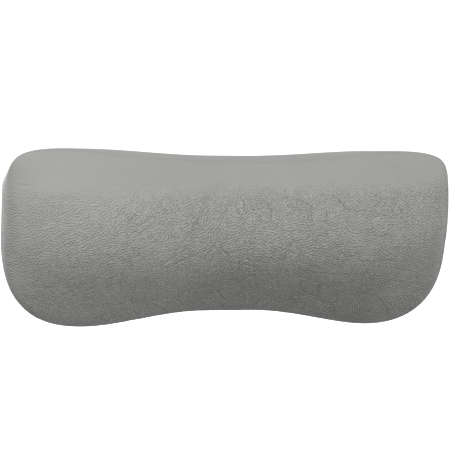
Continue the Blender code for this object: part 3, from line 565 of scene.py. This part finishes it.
def anodised():
    """Satin anodised extrusion: fine die lines along its length, and pale rubbed edges."""
    n = Nodes("anodised_aluminium")
    lines = n.noise(stretched(n, (1700.0, 1700.0, 9.0)), 1.0, 3.0, 0.6)
    broad = n.noise(stretched(n, (240.0, 240.0, 4.0)), 1.0, 2.0)
    cloud = n.noise(n.place(), 45.0, 3.0)
    tone = n.spread(n.math("ADD", broad, cloud), 0.7, 1.3)
    base = n.blend(tone, (0.50, 0.51, 0.525), (0.60, 0.61, 0.62))
    n.feed(n.shader.inputs["Base Color"], n.blend(worn_edges(n, 0.0005), base, (0.74, 0.74, 0.74)))
    n.shader.inputs["Metallic"].default_value = 1.0
    n.feed(n.shader.inputs["Roughness"], n.spread(lines, 0.3, 0.7, 0.30, 0.44))
    n.feed(n.shader.inputs["Normal"], n.bump(lines, 0.000025))
    return n.material


def glass_filled_nylon():
    """Black moulded nylon: flow marks from the glass fibre, and a spark-eroded surface."""
    n = Nodes("glass_filled_nylon")
    where = n.place()
    drift = n.noise(where, 60.0, 2.0, 0.5, colour=True)
    swirl = n.vector("ADD", where, n.vector("MULTIPLY", drift, (0.02,) * 3))
    fibres = n.noise(n.vector("MULTIPLY", swirl, (900.0, 900.0, 160.0)), 1.0, 2.0, 0.6)
    pits = n.noise(where, 1600.0, 2.0, 0.6)
    tone = n.spread(fibres, 0.40, 0.62)
    n.feed(n.shader.inputs["Base Color"], n.blend(tone, (0.020, 0.021, 0.023), (0.034, 0.035, 0.037)))
    n.feed(n.shader.inputs["Roughness"], n.spread(n.math("ADD", pits, fibres), 0.7, 1.3, 0.48, 0.66))
    n.feed(n.shader.inputs["Normal"], n.bump(n.math("ADD", pits, n.math("MULTIPLY", fibres, 0.4)), 0.00005))
    return n.material


def moulded_plastic(name, dark, light, grain, depth, roughness):
    """Moulded plastic with a fine leather-like mould texture, paler where its edges rub."""
    n = Nodes(name)
    where = n.place()
    drift = n.vector("SUBTRACT", n.noise(where, grain * 0.6, 1.0, colour=True), (0.5,) * 3)
    moved = n.vector("ADD", where, n.vector("MULTIPLY", drift, (0.9 / grain,) * 3))
    hair_cell = n.spread(n.cells(moved, grain), 0.0, 0.35, smooth=True)
    specks = n.noise(where, grain * 4, 1.0)
    tone = n.spread(n.noise(where, 35.0, 3.0), 0.35, 0.65)
    rubbed = n.math("MULTIPLY", worn_edges(n, 0.0008), 0.5)
    base = n.blend(tone, dark, light)
    n.feed(n.shader.inputs["Base Color"], n.blend(rubbed, base, tuple(4 * c for c in light)))
    n.feed(n.shader.inputs["Roughness"], n.spread(hair_cell, 0.0, 1.0, roughness + 0.1, roughness - 0.04))
    height = n.math("ADD", hair_cell, n.math("MULTIPLY", specks, 0.3))
    n.feed(n.shader.inputs["Normal"], n.bump(height, depth))
    return n.material


def acetal():
    """Natural acetal: waxy off-white with faint turning rings and grime."""
    n = Nodes("acetal")
    where = n.place()
    rings = n.noise(stretched(n, (2400.0, 60.0, 60.0)), 1.0, 1.0)
    grime = n.spread(n.noise(where, 90.0, 4.0, 0.65), 0.45, 0.75)
    n.feed(n.shader.inputs["Base Color"], n.blend(grime, (0.74, 0.73, 0.69), (0.58, 0.56, 0.51)))
    n.feed(n.shader.inputs["Roughness"], n.spread(rings, 0.3, 0.7, 0.30, 0.42))
    n.shader.inputs["Subsurface Weight"].default_value = 0.08
    n.shader.inputs["Subsurface Scale"].default_value = 0.002
    n.feed(n.shader.inputs["Normal"], n.bump(rings, 0.00002))
    return n.material


def brass():
    """Turned brass, slightly tarnished in patches."""
    n = Nodes("turned_brass")
    rings = n.noise(stretched(n, (2600.0, 80.0, 80.0)), 1.0, 1.0)
    tarnish = n.spread(n.noise(n.place(), 160.0, 4.0, 0.6), 0.42, 0.7)
    n.feed(n.shader.inputs["Base Color"], n.blend(tarnish, (0.66, 0.47, 0.20), (0.40, 0.27, 0.11)))
    n.shader.inputs["Metallic"].default_value = 1.0
    n.feed(n.shader.inputs["Roughness"], n.spread(n.math("ADD", rings, tarnish), 0.3, 1.6, 0.24, 0.46))
    n.feed(n.shader.inputs["Normal"], n.bump(rings, 0.00003))
    return n.material


def friction_fibre():
    """Pressed friction disc: matt brown binder with pale fibres and brass specks."""
    n = Nodes("friction_fibre")
    where = n.place()
    binder = n.blend(n.noise(where, 400.0, 3.0), (0.07, 0.045, 0.028), (0.14, 0.095, 0.06))
    fibre = n.spread(n.noise(stretched(n, (2200.0, 500.0, 900.0)), 1.0, 2.0, 0.6), 0.58, 0.68)
    specks = n.spread(n.cells(where, 1300.0, "F1"), 0.10, 0.16, 1.0, 0.0)
    colour = n.blend(specks, n.blend(fibre, binder, (0.30, 0.25, 0.18)), (0.55, 0.40, 0.18))
    n.feed(n.shader.inputs["Base Color"], colour)
    n.feed(n.shader.inputs["Metallic"], n.math("MULTIPLY", specks, 0.8))
    n.feed(n.shader.inputs["Roughness"], n.spread(specks, 0.0, 1.0, 0.88, 0.45))
    n.feed(n.shader.inputs["Normal"], n.bump(n.math("ADD", fibre, n.noise(where, 1500.0, 1.0)), 0.00004))
    return n.material


def plywood():
    """Birch ply: veneers through its thickness, long grain on its faces."""
    n = Nodes("birch_plywood")
    where = n.place()
    grain = n.noise(stretched(n, (30.0, 900.0, 420.0)), 1.0, 4.0, 0.6)
    flame = n.noise(stretched(n, (9.0, 40.0, 55.0)), 1.0, 3.0)
    depth = n.split(where)[1]
    veneer = n.math("FRACT", n.math("MULTIPLY", depth, 1.0 / 0.0028))
    ply = n.spread(n.math("ABSOLUTE", n.math("SUBTRACT", veneer, 0.5)), 0.22, 0.28)
    light = n.blend(flame, (0.52, 0.37, 0.21), (0.64, 0.49, 0.31))
    dark = n.blend(grain, (0.30, 0.19, 0.095), (0.44, 0.30, 0.16))
    tone = n.math("ADD", n.math("MULTIPLY", ply, 0.35), n.spread(grain, 0.35, 0.7, 0.0, 0.45))
    n.feed(n.shader.inputs["Base Color"], n.blend(tone, light, dark))
    n.feed(n.shader.inputs["Roughness"], n.spread(grain, 0.3, 0.7, 0.62, 0.80))
    n.feed(n.shader.inputs["Normal"], n.bump(grain, 0.00006))
    return n.material


def hard_materials():
    """One material for every slot of the record but the pad's skin."""
    shell = moulded_plastic("shell_abs", (0.026, 0.027, 0.029), (0.036, 0.037, 0.039), 620.0, 0.00007, 0.54)
    knob = moulded_plastic("knob_abs", (0.018, 0.018, 0.019), (0.026, 0.026, 0.028), 1100.0, 0.00004, 0.46)
    return {
        "plywood": plywood(),
        "shell_plastic": shell,
        "black_steel": powder_coat(),
        "zinc_steel": zinc_plate(),
        "aluminium": anodised(),
        "carriage_nylon": glass_filled_nylon(),
        "acetal": acetal(),
        "brass": brass(),
        "friction_fibre": friction_fibre(),
        "knob_plastic": knob,
    }


def dress_frame():
    """Every CAD piece but the pad: its own mesh with softened edges, and the material of its slot."""
    made = hard_materials()
    for name, node in sorted(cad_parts.items()):
        if name == "pad_cushion":
            continue
        weld = node.modifiers.new("weld", "WELD")
        weld.merge_threshold = 0.000005
        flats = node.modifiers.new("flats", "DECIMATE")
        flats.decimate_type = "DISSOLVE"
        flats.angle_limit = math.radians(0.5)
        soft = node.modifiers.new("soft_edges", "BEVEL")
        soft.limit_method = "ANGLE"
        soft.angle_limit = math.radians(35.0)
        soft.width = EDGE_ROUNDING
        soft.segments = 2
        node.modifiers.new("shading", "WEIGHTED_NORMAL")
        for slot in node.material_slots:
            slot.material = made[slot.material.name]


# ---------------------------------------------------------------- pad


def shell_outline(inset):
    """Outline in (x, z) of the flat of the pad's back, drawn in by inset and further at the pad's ends."""
    squeeze = (PAD_WIDTH / 2 - SHELL_END_INSET - inset) / (PAD_WIDTH / 2)
    edges = []
    for share in pad_shares()[::3]:
        ring = pad_ring(share)
        heights = ring[ring[:, 1].max() - ring[:, 1] < 0.000001, 2]
        edges.append((share * squeeze * PAD_WIDTH / 2, min(heights) + inset, max(heights) - inset))
    edges = [edge for edge in edges if edge[2] - edge[1] > SHELL_END_HEIGHT]
    return [(x, low) for x, low, _ in edges] + [(x, high) for x, _, high in reversed(edges)]


def rectangle(width, height, radius, centre, steps=6):
    across, up = centre
    sides = ((1, 1), (-1, 1), (-1, -1), (1, -1))
    arcs = rounded([(across + a * width / 2, up + b * height / 2, radius, steps) for a, b in sides])
    return [tuple(point) for arc in arcs for point in arc]


def cutter(name, outline, start, end):
    bm = bmesh.new()
    face = bm.faces.new([bm.verts.new((a, start, b)) for a, b in outline])
    grown = bmesh.ops.extrude_face_region(bm, geom=[face])["geom"]
    far_side = [item for item in grown if isinstance(item, bmesh.types.BMVert)]
    bmesh.ops.translate(bm, verts=far_side, vec=(0.0, end - start, 0.0))
    bmesh.ops.recalc_face_normals(bm, faces=bm.faces)
    mesh = bpy.data.meshes.new(name)
    bm.to_mesh(mesh)
    bm.free()
    return add_object(name, mesh)


def skin_coordinates(grid):
    """How far each point is across the skin from its middle, and up from the front of the nose."""
    steps = np.linalg.norm(np.diff(grid, axis=0), axis=2)
    along = np.concatenate([np.zeros((1, grid.shape[1])), np.cumsum(steps, axis=0)])
    nose = np.argmin(grid[len(grid) // 2, :, 1])
    across = along[:, nose] - along[len(grid) // 2, nose]
    around = np.linalg.norm(np.diff(grid, axis=1), axis=2)
    up = np.concatenate([np.zeros((grid.shape[0], 1)), np.cumsum(around, axis=1)], axis=1)
    up = up - up[:, nose : nose + 1]
    return np.broadcast_to(across[:, None], up.shape), up


def crease(across, up, start, angle, length, width, depth, bow=0.0):
    """Depth of one fold with raised lips, which fades out at both of its ends."""
    along = (across - start[0]) * math.cos(angle) + (up - start[1]) * math.sin(angle)
    aside = (up - start[1]) * math.cos(angle) - (across - start[0]) * math.sin(angle)
    aside = aside - bow * along * (length - along)
    share = np.clip(along / length, 0.0, 1.0)
    taper = np.clip(4 * share * (1 - share), 0.0, 1.0) ** 0.6
    valley = np.exp(-((aside / width) ** 2))
    lips = np.exp(-(((np.abs(aside) - 1.9 * width) / width) ** 2))
    return depth * taper * (valley - 0.3 * lips)


def hide_folds(across, up):
    """Depth of all the long folds: most follow the hide's arch, and some meet at a star."""
    rng = np.random.default_rng(CREASE_SEED)
    depth = np.zeros(up.shape)
    for _ in range(CREASE_COUNT):
        x = rng.uniform(-1, 1) * CREASE_SPAN["across"]
        s = rng.uniform(CREASE_SPAN["low"], CREASE_SPAN["high"])
        side = (x / math.hypot(x, HIDE_ARCH_BEND) + 1) / 2
        angle = HIDE_FALL[0] * (1 - side) + HIDE_FALL[1] * side + rng.normal(0.0, 0.25)
        length = rng.uniform(*CREASE_LENGTH)
        start = (x - length / 2 * math.cos(angle), s - length / 2 * math.sin(angle))
        width = rng.uniform(*CREASE_WIDTH)
        bow = rng.normal(0.0, 2.0)
        depth += crease(across, up, start, angle, length, width, rng.uniform(*CREASE_DEPTH), bow)
    for ray in range(CREASE_STAR_RAYS):
        angle = 2 * math.pi * ray / CREASE_STAR_RAYS + rng.normal(0.0, 0.18)
        length = rng.uniform(0.012, 0.030)
        start = (CREASE_STAR[0] - 0.002 * math.cos(angle), CREASE_STAR[1] - 0.002 * math.sin(angle))
        bow = rng.normal(0.0, 3.0)
        depth += crease(across, up, start, angle, length, CREASE_WIDTH[0], CREASE_DEPTH[1], bow)
    fade = eased((up - CREASE_SPAN["low"] + 0.010) / 0.015) * eased((CREASE_SPAN["high"] - up) / 0.012)
    return depth * fade


def grid_normals(grid):
    along = np.gradient(grid, axis=0)
    around = np.roll(grid, -1, axis=1) - np.roll(grid, 1, axis=1)
    normals = np.cross(around, along)
    normals /= np.maximum(np.linalg.norm(normals, axis=2, keepdims=True), 1e-12)
    outward = grid - grid.mean(axis=1, keepdims=True)
    if (normals * outward).sum() < 0:
        normals = -normals
    return normals


def relaxed(grid, tips):
    """The pad's points, with its ends smoothed round their tips by the mean height of the skin nearby."""
    rings, count = grid.shape[:2]
    points = np.concatenate([grid.reshape(-1, 3), tips])
    mesh = grid_mesh("relax", grid, tips)
    tree = BVHTree.FromPolygons(points.tolist(), [tuple(face.vertices) for face in mesh.polygons])
    bpy.data.meshes.remove(mesh)
    turns = [2 * math.pi * spoke / PAD_RELAX_SPOKES for spoke in range(PAD_RELAX_SPOKES)]
    offsets = [(0.0, 0.0)] + [(r * math.cos(t), r * math.sin(t)) for r in PAD_RELAX_RADII for t in turns]
    aside, above = (points[:, 1:] - tips[0, 1:]).T
    reach = np.hypot(np.where(aside > 0.0, aside / PAD_RELAX_BACK, aside), above)
    near = (reach < PAD_RELAX_REACH[1]) & (np.abs(points[:, 0]) > PAD_WIDTH / 2 - PAD_RELAX_REACH[1])
    for i in np.flatnonzero(near):
        x, y, z = points[i]
        side = math.copysign(1.0, x)
        hits = [tree.ray_cast((side, y + dy, z + dz), (-side, 0.0, 0.0))[0] for dy, dz in offsets]
        mean = np.mean([hit.x for hit in hits if hit is not None and hit.x * side > 0.0])
        share = 1.0 - eased((reach[i] - PAD_RELAX_REACH[0]) / (PAD_RELAX_REACH[1] - PAD_RELAX_REACH[0]))
        points[i, 0] = x + (mean - x) * share
    return points[:-2].reshape(rings, count, 3), points[-2:]


def make_pad():
    tip_y, tip_z = PAD_BACK_Y - PAD_END_DEPTH, PAD_MIDDLE_Z + PAD_END_UP
    tips = np.array([(side * PAD_WIDTH / 2, tip_y, tip_z) for side in (-1, 1)])
    grid = pad_grid()
    across, up = skin_coordinates(grid)
    grid, tips = relaxed(grid, tips)
    grid = grid - grid_normals(grid) * hide_folds(across, up)[:, :, None]
    mesh = grid_mesh("pad_upholstery", grid, tips)
    skin = np.column_stack([across.ravel(), up.ravel()])
    skin = np.concatenate([skin, skin[:1], skin[-1:]])
    corners = np.zeros(len(mesh.loops), dtype=int)
    mesh.loops.foreach_get("vertex_index", corners)
    mesh.uv_layers.new(name="skin").data.foreach_set("uv", skin[corners].ravel())
    pad = add_object("pad_upholstery", mesh)
    behind = PAD_BACK_Y + 0.002
    middle = (0.0, PAD_MIDDLE_Z)
    pocket = rectangle(BOARD_SIZE[0] + 2 * GAP, BOARD_SIZE[1] + 2 * GAP, BOARD_CORNER + GAP, middle)
    cutters = [
        cutter("rebate", shell_outline(SHELL_INSET - GAP), BOARD_Y, behind),
        cutter("pocket", pocket, BOARD_Y - POCKET_DEPTH, behind),
    ]
    for tool in cutters:
        cut = pad.modifiers.new(tool.name, "BOOLEAN")
        cut.operation = "DIFFERENCE"
        cut.solver = "EXACT"
        cut.object = tool
    evaluated = pad.evaluated_get(bpy.context.evaluated_depsgraph_get())
    mesh = bpy.data.meshes.new_from_object(evaluated)
    pad.modifiers.clear()
    pad.data = mesh
    for tool in cutters:
        bpy.data.objects.remove(tool)
    pad.data.materials.clear()
    pad.data.materials.append(leather_material())
    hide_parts("pad_cushion")
    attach(pad, "pad")
    return pad


add_camera()
add_world()
for name, (azimuth, elevation, power) in SOFTBOXES.items():
    add_softbox(name, azimuth, elevation, power)
add_stage()
bpy.context.scene.view_settings.view_transform = "Standard"
dress_frame()
make_pad()
